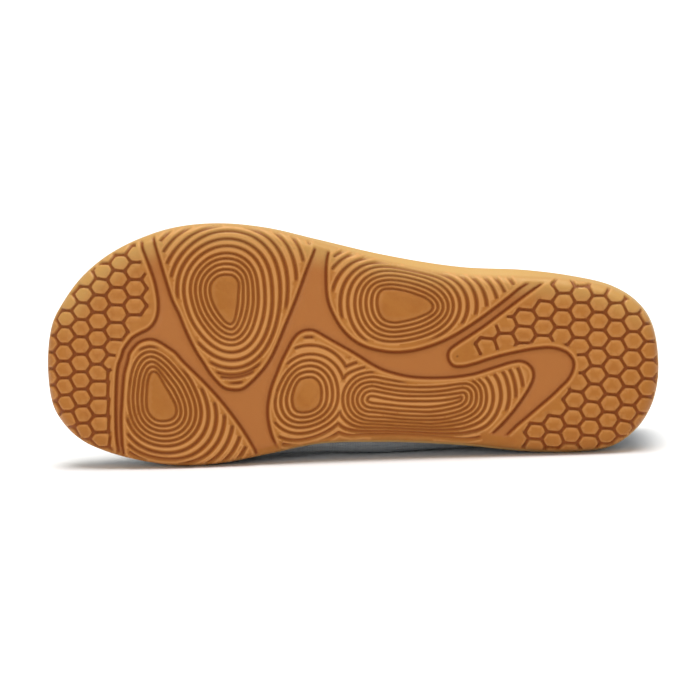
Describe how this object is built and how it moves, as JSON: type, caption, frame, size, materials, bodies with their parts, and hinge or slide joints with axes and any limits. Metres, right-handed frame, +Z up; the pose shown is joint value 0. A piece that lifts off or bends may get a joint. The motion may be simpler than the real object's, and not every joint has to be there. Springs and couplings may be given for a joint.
{
  "type": "barefoot shoe",
  "caption": "Left barefoot shoe: thin wide gum rubber cup sole with ringed tread pads, and a plain knitted slip-on upper, lying on its inner side.",
  "frame": {"origin": "middle of the bounding box's footprint, on the surface that the shoe lies on", "axes": "+X from the toe to the heel, -Y towards the viewer, where the tread faces, +Z up, to the shoe's outer side, as it lies on its inner side"},
  "size_m": [0.2798, 0.087, 0.1102],
  "materials": {
    "gum_rubber": "moulded gum rubber, satin, slightly translucent tan, darker in the grooves",
    "knit": "blue-grey knitted cloth, matt, with a ribbed padded collar",
    "foam": "dark grey foam with a cloth top"
  },
  "bodies": {
    "root": {"outsole": "gum_rubber", "upper": "knit", "insole": "foam"}
  },
  "joints": []
}
